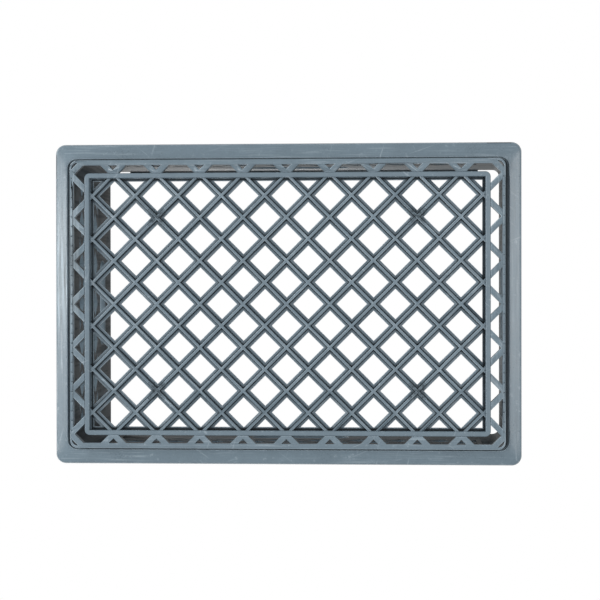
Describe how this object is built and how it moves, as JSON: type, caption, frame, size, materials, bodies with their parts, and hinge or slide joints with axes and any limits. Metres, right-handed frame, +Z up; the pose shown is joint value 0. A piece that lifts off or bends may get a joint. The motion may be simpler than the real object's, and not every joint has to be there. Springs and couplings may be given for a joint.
{
  "type": "milk crate",
  "caption": "Rectangular open-topped plastic milk crate with a diagonal lattice floor, ringed nesting foot, lattice walls and hand-holes.",
  "frame": {"origin": "middle of the underside, in the plane that the foot stands on", "axes": "+Z up through the open mouth, +X along the length"},
  "size_m": [0.48, 0.33, 0.28],
  "materials": {
    "crate_plastic": "blue-grey moulded polyethylene, satin, lightly scuffed"
  },
  "bodies": {
    "root": {"corner_post_back_left": "crate_plastic", "corner_post_back_right": "crate_plastic", "corner_post_front_left": "crate_plastic", "corner_post_front_right": "crate_plastic", "floor_deck": "crate_plastic", "floor_ribs": "crate_plastic", "foot_brace_back_left": "crate_plastic", "foot_brace_back_right": "crate_plastic", "foot_brace_front_left": "crate_plastic", "foot_brace_front_right": "crate_plastic", "foot_frame_back": "crate_plastic", "foot_frame_front": "crate_plastic", "foot_frame_left": "crate_plastic", "foot_frame_right": "crate_plastic", "grip_panel_back": "crate_plastic", "grip_panel_front": "crate_plastic", "grip_panel_left": "crate_plastic", "grip_panel_right": "crate_plastic", "lattice_panel_back": "crate_plastic", "lattice_panel_front": "crate_plastic", "lattice_panel_left": "crate_plastic", "lattice_panel_right": "crate_plastic", "lower_panel_back": "crate_plastic", "lower_panel_front": "crate_plastic", "lower_panel_left": "crate_plastic", "lower_panel_right": "crate_plastic", "rim_back": "crate_plastic", "rim_corner_back_left": "crate_plastic", "rim_corner_back_right": "crate_plastic", "rim_corner_front_left": "crate_plastic", "rim_corner_front_right": "crate_plastic", "rim_front": "crate_plastic", "rim_left": "crate_plastic", "rim_right": "crate_plastic", "ring_rail_back": "crate_plastic", "ring_rail_front": "crate_plastic", "ring_rail_left": "crate_plastic", "ring_rail_right": "crate_plastic", "sill_back": "crate_plastic", "sill_corner_back_left": "crate_plastic", "sill_corner_back_right": "crate_plastic", "sill_corner_front_left": "crate_plastic", "sill_corner_front_right": "crate_plastic", "sill_front": "crate_plastic", "sill_left": "crate_plastic", "sill_right": "crate_plastic"}
  },
  "joints": []
}
